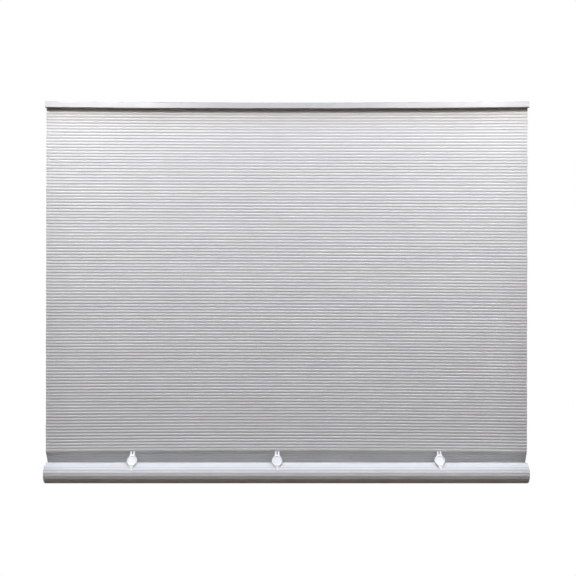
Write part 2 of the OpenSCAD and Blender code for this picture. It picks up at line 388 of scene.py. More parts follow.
def add_bump(tree, shader, height, strength, distance, under=None):
    bump = add_node(tree, "ShaderNodeBump")
    bump.inputs["Strength"].default_value = strength
    bump.inputs["Distance"].default_value = distance
    link(tree, height, bump.inputs["Height"])
    if under is not None:
        link(tree, under, bump.inputs["Normal"])
    link(tree, bump.outputs[0], shader.inputs["Normal"])
    return bump.outputs[0]


print("material helpers ready")

# %% [markdown]
# ## Slat plastic
# The slats are white PVC drawn through a die, so they shine softly and carry faint lines from end to end.
# No two have quite the same shade. Each slat's number and its rise from edge to edge are stored on the
# mesh, so the shade can change from slat to slat, and the edges where two slats meet get painted shade,
# on the flat curtain and around the roll alike.

# %% Slat plastic
SLAT_WHITE = (0.82, 0.82, 0.82)
SLAT_SHADE = (0.77, 0.77, 0.775)
# Painted shade: a darker colour for the edges where two slats meet.
GROOVE_PAINTED_SHADE = (0.66, 0.65, 0.63)


def make_slat_plastic():
    material, tree, shader, place = new_material("slat_plastic", 0.5)
    shader.inputs["Specular IOR Level"].default_value = 0.3
    number = add_node(tree, "ShaderNodeAttribute", attribute_name="slat_number")
    rise = add_node(tree, "ShaderNodeAttribute", attribute_name="slat_rise")
    split = add_node(tree, "ShaderNodeSeparateXYZ")
    link(tree, place, split.inputs[0])
    on_slat = add_node(tree, "ShaderNodeCombineXYZ")
    link(tree, split.outputs["X"], on_slat.inputs["X"])
    link(tree, number.outputs["Fac"], on_slat.inputs["Y"])
    link(tree, rise.outputs["Fac"], on_slat.inputs["Z"])
    lines = place_group(tree, die_lines, on_slat.outputs[0], Across=1.7, Along=2.2)
    grain = place_group(tree, moulded_grain, place, Grain=2600.0, Patch=6.0)
    own_shade = add_node(tree, "ShaderNodeTexWhiteNoise", noise_dimensions="1D")
    link(tree, number.outputs["Fac"], own_shade.inputs["W"])
    own_share = spread(tree, own_shade.outputs["Value"], 0, 0.7, 0, 1)
    shade = blend_colour(tree, own_share, SLAT_WHITE, SLAT_SHADE)
    shade = blend_colour(tree, spread(tree, lines.outputs["Band"], 0, 0.45), shade, SLAT_SHADE)
    # Painted shade: each slat's upper and lower edge is blended towards a darker colour, as if shaded by
    # the groove.
    depth = add_node(tree, "ShaderNodeMath", operation="ABSOLUTE")
    link(tree, rise.outputs["Fac"], depth.inputs[0])
    groove_shade = spread(tree, depth.outputs[0], 0, 0.5, 0.82, 1.0)
    link(tree, blend_colour(tree, groove_shade, shade, GROOVE_PAINTED_SHADE), shader.inputs["Base Color"])
    link(tree, spread(tree, grain.outputs["Mottle"], 0.44, 0.56), shader.inputs["Roughness"])
    lined = add_bump(tree, shader, lines.outputs["Line"], 0.1, 0.2 * MM)
    add_bump(tree, shader, grain.outputs["Height"], 0.02, 0.1 * MM, lined)
    return material


slat_plastic = make_slat_plastic()
print("finish", slat_plastic.name)

# %% [markdown]
# ## Thread
# White polyester thread ties each slat to the next, and a thin web of it closes the openings. Up close a
# thread is a twist of strands, so slanted stripes in its bump are enough: it is under half a millimetre
# thick. The web lies in the shade between two slats, and its colour is painted darker as painted shade.

# %% Thread and web
THREAD_WHITE = (0.84, 0.84, 0.83)
THREAD_SOILED = (0.72, 0.72, 0.70)
# Painted shade: the web's colours are darker than the thread's, for the shaded openings between slats.
WEB_SHADED_WHITE = (0.74, 0.735, 0.73)
WEB_SHADED_SOILED = (0.67, 0.665, 0.66)


def make_thread(name, clean, soiled, roughness, relief):
    material, tree, shader, place = new_material(name, roughness)
    twist = add_node(tree, "ShaderNodeTexWave", wave_type="BANDS", bands_direction="DIAGONAL")
    twist.inputs["Scale"].default_value = 420.0
    twist.inputs["Distortion"].default_value = 1.5
    link(tree, place, twist.inputs["Vector"])
    grain = place_group(tree, moulded_grain, place, Grain=2200.0, Patch=14.0)
    colour = blend_colour(tree, spread(tree, grain.outputs["Mottle"], 0, 1), clean, soiled)
    link(tree, colour, shader.inputs["Base Color"])
    uneven = spread(tree, grain.outputs["Mottle"], roughness - 0.1, roughness + 0.1)
    link(tree, uneven, shader.inputs["Roughness"])
    add_bump(tree, shader, twist.outputs[0], relief, 0.2 * MM)
    return material


tie_thread = make_thread("tie_thread", THREAD_WHITE, THREAD_SOILED, 0.7, 0.5)
# The web gets the darker colours: painted shade of the openings between slats.
tie_web = make_thread("tie_web", WEB_SHADED_WHITE, WEB_SHADED_SOILED, 0.85, 0.06)
print("finishes", tie_thread.name, "and", tie_web.name)

# %% [markdown]
# ## Rail plastic, clip plastic, core plastic and steel
# The rail is the same PVC with a smoother face, so lamps show in it as broad bright patches; its colour is
# set greyer than the slats' as painted shade. The clips are moulded, whiter and glossier. The tube inside
# the roll is matt. The hangers and screws behind the rail are zinc plated: crystals of zinc give a patchy
# grey that is painted with a Voronoi texture.

# %% Rail plastic
# Painted shade: both greys stand for white PVC painted darker than the slats, and the second gives bands
# along the rail.
RAIL_SHADED_WHITE = (0.63, 0.63, 0.63)
RAIL_SHADED_BAND = (0.59, 0.59, 0.59)
RAIL_DUST = (0.60, 0.585, 0.56)


def make_rail_plastic():
    material, tree, shader, place = new_material("rail_plastic", 0.24)
    lines = place_group(tree, die_lines, place, Across=1400.0, Along=2.5)
    grain = place_group(tree, moulded_grain, place, Grain=1400.0, Patch=9.0)
    dust = place_group(tree, settled_dust, place, Amount=0.5)
    # The rail's colour is a painted-shade grey, with darker bands along it.
    colour = blend_colour(tree, spread(tree, lines.outputs["Band"], 0, 1), RAIL_SHADED_WHITE, RAIL_SHADED_BAND)
    colour = blend_colour(tree, dust.outputs["Dust"], colour, RAIL_DUST)
    link(tree, colour, shader.inputs["Base Color"])
    link(tree, spread(tree, grain.outputs["Mottle"], 0.2, 0.32), shader.inputs["Roughness"])
    lined = add_bump(tree, shader, lines.outputs["Line"], 0.12, 0.1 * MM)
    add_bump(tree, shader, grain.outputs["Height"], 0.06, 0.08 * MM, lined)
    return material


rail_plastic = make_rail_plastic()
print("finish", rail_plastic.name)

# %% Clip plastic
CLIP_WHITE = (0.93, 0.93, 0.93)
CLIP_SHADE = (0.89, 0.89, 0.89)
CLIP_DUST = (0.70, 0.685, 0.66)


def make_clip_plastic():
    material, tree, shader, place = new_material("clip_plastic", 0.22)
    grain = place_group(tree, moulded_grain, place, Grain=700.0, Patch=120.0)
    dust = place_group(tree, settled_dust, place, Amount=0.25)
    colour = blend_colour(tree, spread(tree, grain.outputs["Mottle"], 0, 1), CLIP_WHITE, CLIP_SHADE)
    colour = blend_colour(tree, dust.outputs["Dust"], colour, CLIP_DUST)
    link(tree, colour, shader.inputs["Base Color"])
    link(tree, spread(tree, grain.outputs["Mottle"], 0.16, 0.3), shader.inputs["Roughness"])
    add_bump(tree, shader, grain.outputs["Height"], 0.15, 0.1 * MM)
    return material


clip_plastic = make_clip_plastic()
print("finish", clip_plastic.name)

# %% Core plastic
CORE_PALE = (0.70, 0.70, 0.69)
CORE_DULL = (0.60, 0.60, 0.585)


def make_core_plastic():
    material, tree, shader, place = new_material("core_plastic", 0.55)
    lines = place_group(tree, die_lines, place, Across=1100.0, Along=4.0)
    grain = place_group(tree, moulded_grain, place, Grain=1600.0, Patch=40.0)
    colour = blend_colour(tree, spread(tree, grain.outputs["Mottle"], 0, 1), CORE_PALE, CORE_DULL)
    link(tree, colour, shader.inputs["Base Color"])
    link(tree, spread(tree, lines.outputs["Band"], 0.45, 0.65), shader.inputs["Roughness"])
    add_bump(tree, shader, grain.outputs["Height"], 0.2, 0.1 * MM)
    return material


core_plastic = make_core_plastic()
print("finish", core_plastic.name)

# %% Zinc-plated steel
ZINC_LIGHT = (0.66, 0.67, 0.68)
ZINC_DARK = (0.50, 0.51, 0.53)


def make_zinc_steel():
    material, tree, shader, place = new_material("zinc_steel", 0.35)
    shader.inputs["Metallic"].default_value = 1.0
    crystals = add_node(tree, "ShaderNodeTexVoronoi")
    crystals.inputs["Scale"].default_value = 260.0
    link(tree, place, crystals.inputs["Vector"])
    grain = place_group(tree, moulded_grain, place, Grain=1800.0, Patch=90.0)
    facet = add_node(tree, "ShaderNodeSeparateColor")
    link(tree, crystals.outputs["Color"], facet.inputs[0])
    colour = blend_colour(tree, facet.outputs[0], ZINC_LIGHT, ZINC_DARK)
    link(tree, colour, shader.inputs["Base Color"])
    link(tree, spread(tree, facet.outputs[1], 0.26, 0.46, 0, 1), shader.inputs["Roughness"])
    add_bump(tree, shader, grain.outputs["Height"], 0.15, 0.1 * MM)
    return material


zinc_steel = make_zinc_steel()
print("finish", zinc_steel.name)

# %% Finishes on the CAD pieces that keep their own shape
CAD_FINISHES = {
    rail_plastic: ("head_rail", "head_cap_left", "head_cap_right", "clamp_strip"),
    zinc_steel: ("clamp_screws", "hanger_left", "hanger_right", "hanger_screws"),
    core_plastic: ("bottom_rail", "bottom_cap_left", "bottom_cap_right"),
}
for finish, names in CAD_FINISHES.items():
    for name in names:
        materials = frame["nodes"][name].data.materials
        materials.clear()
        materials.append(finish)
print("dressed", sum(len(names) for names in CAD_FINISHES.values()), "CAD pieces")

# %% [markdown]
# ## The rail's sag
# The solid rail is straight, but the real one hangs from its two hangers and sags between them. The solid
# stays as it is: a modifier cuts its long faces finer and lowers each place by the sag there. The caps, the
# strip and the screws that belong to the rail go along, in the same curve as the top slats.

# %% Sag of the rail and what it carries
def make_sag():
    group = bpy.data.node_groups.new("rail_sag", "GeometryNodeTree")
    for way in ("INPUT", "OUTPUT"):
        group.interface.new_socket("Geometry", in_out=way, socket_type="NodeSocketGeometry")
    cuts = group.interface.new_socket("Cuts", in_out="INPUT", socket_type="NodeSocketInt")
    given, out = add_node(group, "NodeGroupInput"), add_node(group, "NodeGroupOutput")
    finer = add_node(group, "GeometryNodeSubdivideMesh")
    split = add_node(group, "ShaderNodeSeparateXYZ")
    squared = add_node(group, "ShaderNodeMath", operation="MULTIPLY")
    height = add_node(group, "ShaderNodeMath", operation="MULTIPLY_ADD")
    height.inputs[1].default_value = RAIL_SAG * (2 / SLAT_W) ** 2
    height.inputs[2].default_value = -rail_sag(0)
    offset = add_node(group, "ShaderNodeCombineXYZ")
    moved = add_node(group, "GeometryNodeSetPosition")
    link(group, given.outputs["Geometry"], finer.inputs["Mesh"])
    link(group, given.outputs["Cuts"], finer.inputs["Level"])
    link(group, add_node(group, "GeometryNodeInputPosition").outputs[0], split.inputs[0])
    link(group, split.outputs["X"], squared.inputs[0])
    link(group, split.outputs["X"], squared.inputs[1])
    link(group, squared.outputs[0], height.inputs[0])
    link(group, height.outputs[0], offset.inputs["Z"])
    link(group, finer.outputs[0], moved.inputs["Geometry"])
    link(group, offset.outputs[0], moved.inputs["Offset"])
    link(group, moved.outputs[0], out.inputs[0])
    return group, cuts.identifier


sag, sag_cuts = make_sag()
SAG_CUTS = {"head_rail": 2, "clamp_strip": 2, "head_cap_left": 0, "head_cap_right": 0, "clamp_screws": 0}
for name, cuts in SAG_CUTS.items():
    modifier = frame["nodes"][name].modifiers.new("sag", "NODES")
    modifier.node_group = sag
    modifier[sag_cuts] = cuts
print(f"the rail sags {rail_sag(0) / MM:.1f} mm in the middle")

# %% [markdown]
# ## The slats
# A slat is a flat oval tube about 1.2 m long and 6.5 mm high. A simple way is one slat and an Array
# modifier, but then every slat would be the same, and the roll would need another method. Here all slats
# of a stretch are made at once with NumPy: an oval ring is repeated along X for each slat, and a seeded
# generator gives each slat a small turn and shift of its own. Tied slats turn with their neighbours, so
# part of the turn is an average over several slats.

# %% Slat maker
RING = 14
FLATNESS = 0.8
STATIONS = 18
END_ROUND = 0.5 * MM
END_SCALE = 0.7
NEIGHBOURS = 9
SHARED_TURN = 0.9
OWN_TURN = 0.7
OWN_SHIFT = 0.35 * MM
DRIFT_FROM = {hung_place: 0.0, outer_place: HUNG_LENGTH, inner_place: HUNG_LENGTH}


def station_places():
    """Places along a slat, with an extra ring at each end for its rounded edge, and each ring's scale."""
    inner = np.linspace(-SLAT_W / 2 + END_ROUND, SLAT_W / 2 - END_ROUND, STATIONS)
    places = np.concatenate([[-SLAT_W / 2], inner, [SLAT_W / 2]])
    scale = np.ones(len(places))
    scale[[0, -1]] = END_SCALE
    return places, scale


def slat_points(place, runs, random, unevenness, sway):
    """Ring points of every slat, as an array of slats, stations, ring points and X, Y, Z."""
    count = len(runs)
    found = [place(run) for run in runs]
    middle = np.array([point for point, _ in found])
    heading = np.array([direction for _, direction in found])
    face = np.stack([heading[:, 1], -heading[:, 0]], 1)
    station, scale = station_places()
    angle = np.arange(RING) / RING * 2 * math.pi
    along = -SLAT_H / 2 * np.cos(angle)
    outward = SLAT_T / 2 * np.sign(np.sin(angle)) * np.abs(np.sin(angle)) ** FLATNESS
    average = np.ones(NEIGHBOURS) / math.sqrt(NEIGHBOURS)
    shared_turn = np.convolve(random.normal(0, 1, count + NEIGHBOURS - 1), average, "valid")
    turn = np.radians(unevenness * (SHARED_TURN * shared_turn + OWN_TURN * random.normal(0, 1, count)))
    shift = unevenness * random.uniform(-OWN_SHIFT, OWN_SHIFT, count) + drift(DRIFT_FROM[place] + runs)
    rise = sway(runs[:, None], station[None])
    lengthwise = along[None] * np.cos(turn)[:, None] - outward[None] * np.sin(turn)[:, None]
    crosswise = along[None] * np.sin(turn)[:, None] + outward[None] * np.cos(turn)[:, None]
    lengthwise = lengthwise[:, None, :] * scale[None, :, None]
    crosswise = crosswise[:, None, :] * scale[None, :, None]
    points = np.empty((count, len(station), RING, 3))
    points[..., 0] = (station[None] + shift[:, None])[:, :, None]
    for axis in (0, 1):
        points[..., axis + 1] = (
            middle[:, None, None, axis]
            + lengthwise * heading[:, None, None, axis]
            + crosswise * face[:, None, None, axis]
        )
    points[..., 2] += rise[:, :, None]
    return points


print("a slat has", (STATIONS + 2) * RING, "points")

# %% [markdown]
# The rings become faces, and each slat gets its own row in a UV map. The map is laid out like the mat
# itself, one slat above the other, so a baked finish keeps its long straight lines. The places in the map
# are shares of a row, and the web below a slat takes the end of that slat's row.

# %% Faces and map rows of the slats
QUAD_CORNERS = ((0, 0), (0, 1), (1, 1), (1, 0))
MAP_EDGE = 0.012
ROW_START = 0.02
ROW_SHARE = 0.84
CAP_STARTS = (0.006, 0.994)
CAP_RISE = 0.93
CAP_HALF_W = 0.004
CAP_HALF_H = 0.04


def slat_faces(count):
    """Quads along every slat and a cap at both of its ends, as lists of point numbers."""
    rings = STATIONS + 2
    number = np.arange(count * rings * RING).reshape(count, rings, RING)
    after = np.roll(number, -1, axis=2)
    quads = np.stack([number[:, :-1], after[:, :-1], after[:, 1:], number[:, 1:]], -1).reshape(-1, 4)
    caps = np.concatenate([number[:, 0, ::-1], number[:, -1]])
    return quads, caps


def slat_map(count):
    """UV corners in the order of slat_faces."""
    rings = STATIONS + 2
    station, _ = station_places()
    across = MAP_EDGE + (1 - 2 * MAP_EDGE) * (station / SLAT_W + 0.5)
    row = np.arange(count)[:, None, None]
    ring = np.arange(RING)[None, None, :]
    corners = np.empty((count, rings - 1, RING, 4, 2))
    for corner, (ahead, on) in enumerate(QUAD_CORNERS):
        corners[..., corner, 0] = across[ahead : rings - 1 + ahead][None, :, None]
        corners[..., corner, 1] = (row + ROW_START + ROW_SHARE * (ring + on) / RING) / count
    angle = np.arange(RING) / RING * 2 * math.pi
    caps = np.empty((2, count, RING, 2))
    for side, start in enumerate(CAP_STARTS):
        caps[side, :, :, 0] = start + CAP_HALF_W * np.cos(angle)[None]
        caps[side, :, :, 1] = (row[:, 0] + CAP_RISE + CAP_HALF_H * np.sin(angle)[None]) / count
    return np.concatenate([corners.reshape(-1, 2), caps.reshape(-1, 2)])


print("map rows are", ROW_SHARE, "of a slat's share")

# %% [markdown]
# Between two slats runs the thin web of the ties. It is a strip from the lower edge of one slat to the
# upper edge of the next, set back in the opening so that the slats shade it. At the kink two strips meet:
# one reaches down from the last hung slat, and one stands up behind it as a short flap. So no light comes
# through there, even when the hung stretch has shortened.

# %% Web maker
WEB_T = 1.3 * MM
WEB_OVERLAP = 0.5 * MM
FLAP_RISE = 4 * MM
FLAP_BACK = 3.4 * MM
WEB_EDGE = 0.02
WEB_ROW_START = 0.88
WEB_ROW_SHARE = 0.1
WEB_END_STARTS = (0.0125, 0.9825)
WEB_END_W = 0.005
WEB_END_LOW = 0.89
WEB_END_HIGH = 0.97


def web_points(points):
    """Strips between neighbouring slats: strips, stations, corners and X, Y, Z."""
    upper_edge = points[1:, 1:-1, 0]
    lower_edge = points[:-1, 1:-1, RING // 2]
    direction = upper_edge - lower_edge
    direction[..., 0] = 0
    direction /= np.linalg.norm(direction, axis=-1, keepdims=True)
    outward = np.stack([direction[..., 0], direction[..., 2], -direction[..., 1]], -1)
    start = lower_edge - WEB_OVERLAP * direction
    end = upper_edge + WEB_OVERLAP * direction
    half = WEB_T / 2 * outward
    return np.stack([start + half, end + half, end - half, start - half], 2)


def flap_edge():
    """The flap's upper edge, in the form of the points of one slat."""
    station, _ = station_places()
    edge = np.empty((1, len(station), RING, 3))
    edge[..., 0] = (station + drift(HUNG_LENGTH))[None, :, None]
    edge[..., 1] = CURTAIN_Y + FLAP_BACK
    edge[..., 2] = KINK_Z + FLAP_RISE
    return edge


def web_faces(count, first):
    """Quads around every strip and at both of its ends. The strips' points start at number first."""
    number = first + np.arange(count * STATIONS * 4).reshape(count, STATIONS, 4)
    after = np.roll(number, -1, axis=2)
    sides = np.stack([number[:, :-1], after[:, :-1], after[:, 1:], number[:, 1:]], -1).reshape(-1, 4)
    ends = np.concatenate([number[:, 0, ::-1], number[:, -1]])
    return np.concatenate([sides, ends])


def web_map(count, rows):
    """UV corners in the order of web_faces."""
    row = np.arange(count)[:, None, None]
    edge = np.arange(4)[None, None]
    across = np.linspace(WEB_EDGE, 1 - WEB_EDGE, STATIONS)
    corners = np.empty((count, STATIONS - 1, 4, 4, 2))
    for corner, (ahead, on) in enumerate(QUAD_CORNERS):
        corners[..., corner, 0] = across[ahead : STATIONS - 1 + ahead][None, :, None]
        corners[..., corner, 1] = (row + WEB_ROW_START + WEB_ROW_SHARE * (edge + on) / 4) / rows
    ends = np.empty((2, count, 4, 2))
    heights = np.array([WEB_END_LOW, WEB_END_LOW, WEB_END_HIGH, WEB_END_HIGH])
    for side, start in enumerate(WEB_END_STARTS):
        ends[side, :, :, 0] = start + WEB_END_W * np.array([0, 1, 1, 0])[None]
        ends[side, :, :, 1] = (row[:, 0] + heights[None]) / rows
    return np.concatenate([corners.reshape(-1, 2), ends.reshape(-1, 2)])


print("web strips are", WEB_T / MM, "mm thick")

# %% Build the three stretches of the mat
def store_values(mesh, label, on_slats, on_webs):
    """A value for every point of the mesh: one array for the slats, and zero on the webs."""
    values = np.concatenate([on_slats, np.zeros(on_webs)]).astype(np.float32)
    mesh.attributes.new(label, "FLOAT", "POINT").data.foreach_set("value", values)


def build_mat(name, place, count, seed, unevenness, sway, above=None, below=None):
    """All slats of one stretch with their webs, as one mesh object, and the points of its first slat."""
    random = np.random.default_rng(seed)
    runs = (np.arange(count) + 0.5) * SLAT_PITCH
    points = slat_points(place, runs, random, unevenness, sway)
    strips = web_points(np.concatenate([rows for rows in (above, points, below) if rows is not None]))
    quads, caps = slat_faces(count)
    webs = web_faces(len(strips), points.size // 3)
    mesh = bpy.data.meshes.new(name)
    vertices = np.concatenate([points.reshape(-1, 3), strips.reshape(-1, 3)])
    mesh.from_pydata(vertices.tolist(), [], quads.tolist() + caps.tolist() + webs.tolist())
    layer = mesh.uv_layers.new(name="OFBake")
    corners = np.concatenate([slat_map(count), web_map(len(strips), count)])
    layer.uv.foreach_set("vector", corners.astype(np.float32).ravel())
    on_web = np.zeros(len(mesh.polygons), np.int32)
    on_web[len(quads) + len(caps) :] = 1
    smooth = np.zeros(len(mesh.polygons), bool)
    smooth[: len(quads)] = True
    mesh.polygons.foreach_set("material_index", on_web)
    mesh.polygons.foreach_set("use_smooth", smooth)
    rings = STATIONS + 2
    ring_rise = -np.cos(np.arange(RING) / RING * 2 * math.pi)
    store_values(mesh, "slat_number", np.repeat(np.arange(count), rings * RING) + seed, strips.size // 3)
    store_values(mesh, "slat_rise", np.tile(ring_rise, count * rings), strips.size // 3)
    mesh.materials.append(slat_plastic)
    mesh.materials.append(tie_web)
    mesh.validate()
    mat = add_object(name, mesh)
    print(name, "has", len(mesh.polygons), "faces")
    return mat, points[:1]


outer_mat, first_outer = build_mat(
    "outer_slats", outer_place, OUTER_SLATS, 211, 0.5, outer_sway, above=flap_edge()
)
hung_mat, _ = build_mat("hung_slats", hung_place, HUNG_SLATS, 11, 1.0, hung_sway, below=first_outer)
inner_mat, _ = build_mat("wound_slats", inner_place, INNER_SLATS, 311, 0.2, no_sway)

# %% Put each stretch on its body
for mat, body, node in (
    (hung_mat, "head", "slat_curtain"),
    (outer_mat, "hung_roll", "outer_turn_slats"),
    (inner_mat, "rolled_core", "rolled_slats"),
):
    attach(mat, body)
    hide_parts(node)
print("three stretches ride on their bodies")

# %% [markdown]
# ## Tie threads
# Every 40 mm or so two threads run down the mat, one in front of a slat where the other is behind it, and
# they cross in each opening. A wave that swings once every two slats follows the ovals closely, so each
# thread is a thin tube along such a wave. Three sides are enough for a third of a millimetre.

# %% Thread maker
THREAD_R = 0.18 * MM
THREAD_RING = ((-0.87, -0.5), (0, 1), (0.87, -0.5))
THREAD_ASIDE = 1.2 * THREAD_R
THREAD_PROUD = 0.14 * MM
THREAD_SWING = SLAT_T / 2 + THREAD_PROUD
THREAD_COLUMNS = 30
STEPS_PER_SLAT = 4
HIDDEN_SLATS = 2


def thread_path(place, first, last, side):
    """Points in Y and Z along a thread between two slats, and the way out from the mat at each."""
    steps = np.linspace(first, last, (last - first) * STEPS_PER_SLAT + 1)
    found = [place(step * SLAT_PITCH) for step in steps]
    middle = np.array([point for point, _ in found])
    heading = np.array([direction for _, direction in found])
    face = np.stack([heading[:, 1], -heading[:, 0]], 1)
    swing = side * THREAD_SWING * np.cos(math.pi * (steps - 0.5))
    return steps * SLAT_PITCH, middle + swing[:, None] * face, face


def build_threads(name, place, first, last, sway):
    columns = (np.arange(THREAD_COLUMNS) + 0.5) / THREAD_COLUMNS * SLAT_W - SLAT_W / 2
    vertices, faces = [], []
    sides = len(THREAD_RING)
    corners = [(corner, (corner + 1) % sides) for corner in range(sides)]
    for side in (1, -1):
        runs, path, face = thread_path(place, first, last, side)
        aside = drift(DRIFT_FROM[place] + runs)
        for column in columns + side * THREAD_ASIDE:
            start = len(vertices)
            rise = sway(runs, column)
            for step, (point, out) in enumerate(zip(path, face)):
                for across, up in THREAD_RING:
                    y, z = point + up * THREAD_R * out
                    vertices.append((column + aside[step] + across * THREAD_R, y, z + rise[step]))
            for ring in range(len(path) - 1):
                here = start + ring * sides
                there = here + sides
                faces += [(here + k, there + k, there + after, here + after) for k, after in corners]
            end = len(vertices) - 1
            faces += [tuple(range(start, start + sides)), tuple(range(end, end - sides, -1))]
    mesh = bpy.data.meshes.new(name)
    mesh.from_pydata(vertices, [], faces)
    mesh.polygons.foreach_set("use_smooth", np.ones(len(faces), bool))
    mesh.materials.append(tie_thread)
    print(name, "has", len(faces), "faces")
    return add_object(name, mesh)


hung_threads = build_threads("hung_threads", hung_place, HIDDEN_SLATS, HUNG_SLATS, hung_sway)
outer_threads = build_threads("outer_threads", outer_place, 0, OUTER_SLATS, outer_sway)
for threads, body in ((hung_threads, "head"), (outer_threads, "hung_roll")):
    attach(threads, body)

# %% [markdown]
# ## Rolling up
# When the roll climbs, the hung slats go onto it one by one. The frame models that climb as a slide.
# Here the hung stretch and its threads each get a mesh of their own.

# %% Own meshes for the hung stretch and its threads
for soft in (hung_mat, hung_threads):
    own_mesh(soft)

# %% [markdown]
# ## Clips
# A clip is one piece of moulded plastic: two prongs hook into the curtain, a dished disc gives the thumb a
# place to press, and a tail ends in a claw that grips the roll. The outline is drawn as a ring of points
# and given thickness, the disc's rim is turned like a bowl, and a Bevel modifier rounds the edges. Its
# shoulders are rounder and its slot is shorter than in the solid, as the photograph shows them.

# %% Clip sizes, in the clip's own plane
CLIP_T = 1.6 * MM
CLIP_Y = 2.2 * MM
CLIP_SINK = 0.3 * MM
CLIP_Z = ROLL_DROP - CLIP_SINK
PLATE_R = ROLL_R + FIT + CLIP_T / 2
CLIP_REACH = math.hypot(CLIP_Y, CLIP_Z)
CLIP_LEAN = math.asin(PLATE_R / CLIP_REACH) - math.atan(CLIP_Y / CLIP_Z)
PLATE_LEN = math.sqrt(CLIP_REACH**2 - PLATE_R**2)
DISC_V = -PLATE_LEN / 2
DISC_R = 13.5 * MM
RIM_W = 2.7 * MM
RIM_H = 1.1 * MM
RIM_INSET = 0.2 * MM
RIM_STEPS = 48
BEAD_DIP = math.radians(20)
NECK_W = 11 * MM
NECK_FILLET = 12 * MM
SLOT_W = 3 * MM
SLOT_DEPTH = 6.5 * MM
TAIL_W = 5 * MM
TAIL_SHIFT = 0.8 * MM
TAIL_CORNER = 1 * MM
TAIL_MARGIN = math.radians(1)
TAPER_LEN = 18 * MM
PRONG_T = 0.9 * MM
PRONG_LIFT = 0.15 * MM
PRONG_ROOT = 0.4 * MM
HOOK_Y = KINK_TUCK + 2.7 * MM
HOOK_T = 0.9 * MM
HOOK_H = 1.5 * MM
CLAW_W = TAIL_W - 2 * TAIL_CORNER
CLAW_T = 0.8 * MM
CLAW_BITE = 0.6 * MM
SOFT_EDGE = 0.3 * MM
SHARP_ANGLE = math.radians(40)


def opening_angle(count):
    """Angle above straight ahead at which the opening after that many slats lies on the roll."""
    return (HOOK_ROOM + count * SLAT_PITCH - LEAD) / TURN_R - math.pi - LEAN


openings = [opening_angle(count) for count in range(1, OUTER_SLATS)]
TAIL_ANGLE = max(angle for angle in openings if angle < CLIP_LEAN - TAIL_MARGIN)
TAIL_V = -PLATE_LEN - TURN_R * math.sin(CLIP_LEAN - TAIL_ANGLE)
CLAW_N = (TURN_R - CLAW_BITE) * math.cos(CLIP_LEAN - TAIL_ANGLE) - PLATE_R
print(f"clip plate {PLATE_LEN / MM:.1f} mm long, leaning {math.degrees(CLIP_LEAN):.1f} degrees")

# %% Clip outline and plate
def arc(centre, radius, start, end, steps):
    angles = np.linspace(start, end, steps)
    return [(centre[0] + radius * math.cos(a), centre[1] + radius * math.sin(a)) for a in angles]


def taper_touch(corner, side):
    """Angle at which a straight line from a corner of the tail touches the disc."""
    return math.atan2(corner[1], corner[0]) + side * math.acos(DISC_R / math.hypot(*corner))


def clip_outline():
    """Points around the plate, seen from the front: right prong, disc, tail, disc, left prong, slot."""
    middle = (0, DISC_V)
    fillet_x = NECK_W / 2 + NECK_FILLET
    fillet_rise = math.sqrt((DISC_R + NECK_FILLET) ** 2 - fillet_x**2)
    meet = math.atan2(fillet_rise, fillet_x)
    low = TAIL_V - CLAW_T / 2 + TAIL_CORNER
    tail_right, tail_left = TAIL_SHIFT + TAIL_W / 2, TAIL_SHIFT - TAIL_W / 2
    right = [(NECK_W / 2, 0)]
    right += arc((fillet_x, DISC_V + fillet_rise), NECK_FILLET, math.pi, math.pi + meet, 6)
    right += arc(middle, DISC_R, meet, taper_touch((tail_right, -TAPER_LEN), 1), 18)
    right += [(tail_right, DISC_V - TAPER_LEN)]
    tip = arc((tail_right - TAIL_CORNER, low), TAIL_CORNER, 0, -math.pi / 2, 4)
    tip += arc((tail_left + TAIL_CORNER, low), TAIL_CORNER, -math.pi / 2, -math.pi, 4)
    left = [(tail_left, DISC_V - TAPER_LEN)]
    left += arc(middle, DISC_R, taper_touch((tail_left, -TAPER_LEN), -1) + 2 * math.pi, math.pi - meet, 18)
    left += arc((-fillet_x, DISC_V + fillet_rise), NECK_FILLET, -meet, 0, 6)
    left += [(-NECK_W / 2, 0)]
    slot = arc((0, SLOT_W / 2 - SLOT_DEPTH), SLOT_W / 2, math.pi, 2 * math.pi, 9)
    return right + tip + left + [(-SLOT_W / 2, 0)] + slot + [(SLOT_W / 2, 0)]


def solid_from_outline(outline, low, high):
    """Points and faces of an outline given thickness, both ends closed."""
    count = len(outline)
    points = [(x, y, high) for x, y in outline] + [(x, y, low) for x, y in outline]
    faces = [tuple(range(count))[::-1], tuple(range(count, 2 * count))]
    faces += [(k, (k + 1) % count, count + (k + 1) % count, count + k) for k in range(count)]
    return points, faces


print("clip outline has", len(clip_outline()), "points")

# %% Clip rim, prongs and claw
def turned_ring(profile, centre, steps):
    """A closed profile of radius and height, turned about the disc's middle."""
    points, faces = [], []
    for step in range(steps):
        angle = 2 * math.pi * step / steps
        ahead, aside = math.cos(angle), math.sin(angle)
        points += [(centre[0] + r * ahead, centre[1] + r * aside, height) for r, height in profile]
    count = len(profile)
    corners = [(corner, (corner + 1) % count) for corner in range(count)]
    for step in range(steps):
        here, there = step * count, (step + 1) % steps * count
        faces += [(here + k, there + k, there + after, here + after) for k, after in corners]
    return points, faces


def rim_profile():
    """A rounded bead whose foot lies inside the plate."""
    bead_r = (RIM_W**2 / 4 + RIM_H**2) / (2 * RIM_H)
    middle = (DISC_R - RIM_INSET - RIM_W / 2, CLIP_T / 2 + RIM_H - bead_r)
    return arc(middle, bead_r, -BEAD_DIP, math.pi + BEAD_DIP, 12)


def bar(low, high):
    """A straight bar between two corners."""
    (x0, y0, z0), (x1, y1, z1) = low, high
    points = [(x, y, z) for x in (x0, x1) for y in (y0, y1) for z in (z0, z1)]
    return points, [(0, 1, 3, 2), (4, 6, 7, 5), (0, 4, 5, 1), (2, 3, 7, 6), (0, 2, 6, 4), (1, 5, 7, 3)]


